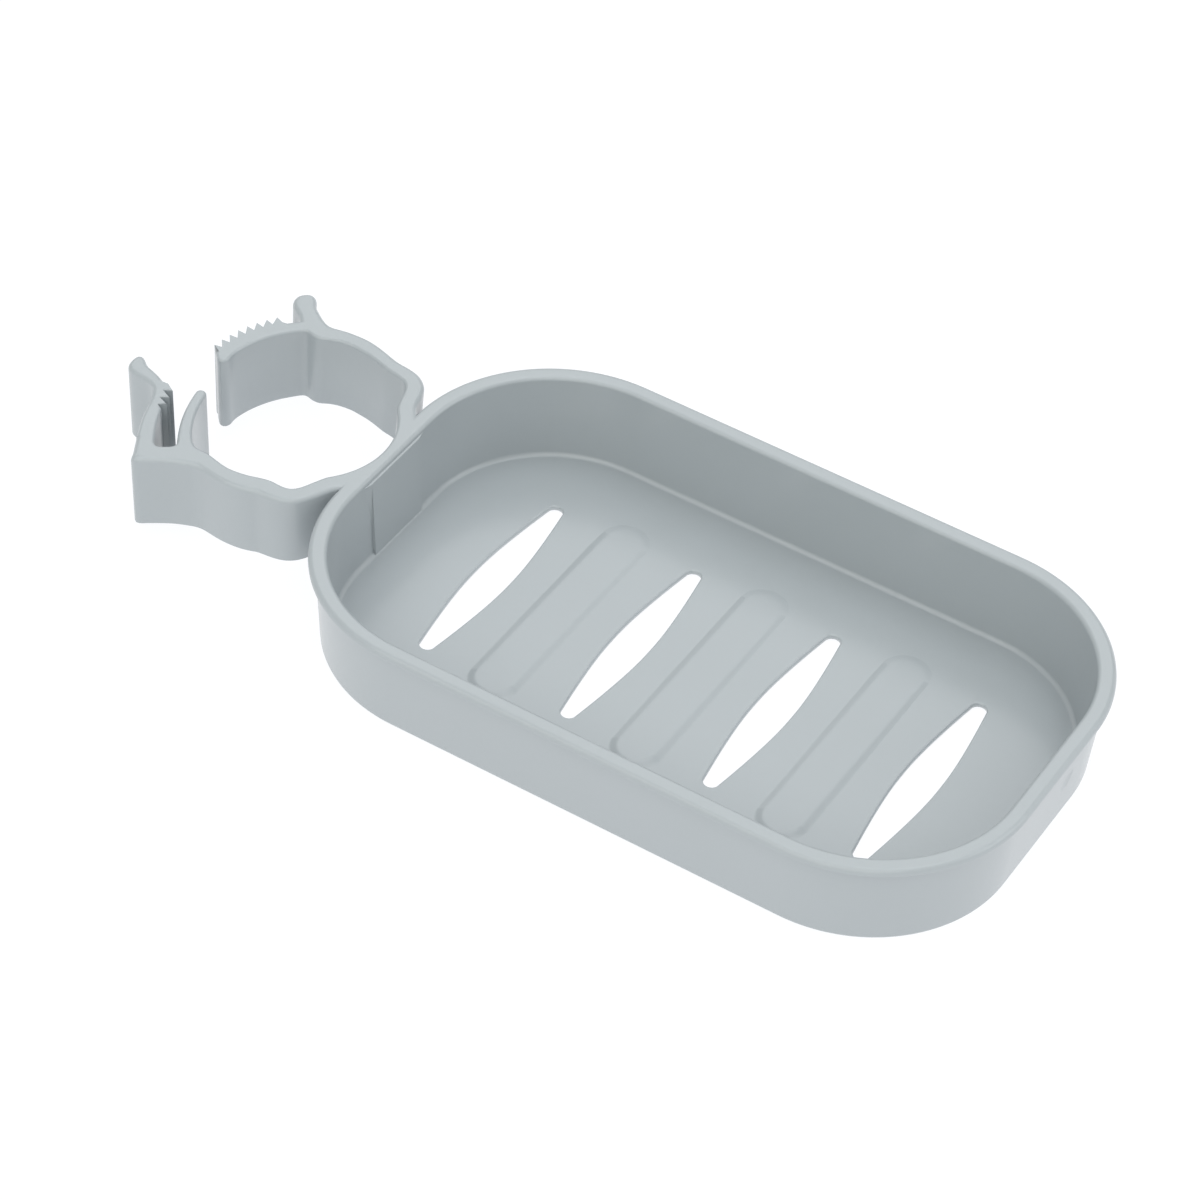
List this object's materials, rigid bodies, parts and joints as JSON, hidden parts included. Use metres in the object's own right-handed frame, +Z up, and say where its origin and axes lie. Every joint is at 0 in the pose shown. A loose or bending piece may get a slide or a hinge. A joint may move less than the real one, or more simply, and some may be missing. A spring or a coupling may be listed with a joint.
{
  "type": "faucet sponge holder",
  "caption": "Shallow rounded tray with slots in its floor and a hinged ratchet clamp at one end, which closes round a faucet's neck and holds a sponge or soap beside it.",
  "frame": {"origin": "middle of the tray's flat base", "axes": "+X along the tray, away from the clamp; +Y across the tray, towards the toothed jaw's side; +Z up, out of the open tray"},
  "size_m": [0.1841, 0.0834, 0.0185],
  "materials": {
    "plastic": "satin moulded polypropylene, light cool grey"
  },
  "bodies": {
    "tray": {"tray_floor": "plastic", "floor_rib_1": "plastic", "floor_rib_2": "plastic", "floor_rib_3": "plastic", "wall_clamp_end": "plastic", "wall_free_end": "plastic", "tray_rim": "plastic", "wall_pad": "plastic", "clamp_saddle": "plastic", "strap_neck": "plastic", "fork_neck": "plastic"},
    "strap_side": {"toothed_jaw": "plastic", "ratchet_strap": "plastic", "strap_teeth": "plastic", "strap_tab": "plastic"},
    "fork_side": {"fork_jaw": "plastic", "fork_root": "plastic", "guide_finger": "plastic"},
    "latch": {"latch_arm": "plastic", "latch_teeth": "plastic", "latch_tab": "plastic"}
  },
  "joints": [
    {"name": "strap_side_hinge", "type": "hinge", "parent": "tray", "child": "strap_side", "pos_m": [-0.06965, 0.01207, 0.0112], "axis": [0, 0, 1], "range_deg": [-15, 15], "stiffness_Nm_per_rad": 0.8},
    {"name": "fork_side_hinge", "type": "hinge", "parent": "tray", "child": "fork_side", "pos_m": [-0.06965, -0.01207, 0.0112], "axis": [0, 0, 1], "range_deg": [-15, 15], "stiffness_Nm_per_rad": 0.8},
    {"name": "latch_hinge", "type": "hinge", "parent": "fork_side", "child": "latch", "pos_m": [-0.10244, -0.02049, 0.0112], "axis": [0, 0, 1], "range_deg": [-2, 10], "stiffness_Nm_per_rad": 0.5}
  ],
  "couplings": [
    {"joint": "fork_side_hinge", "follows": "strap_side_hinge", "ratio": -1}
  ]
}
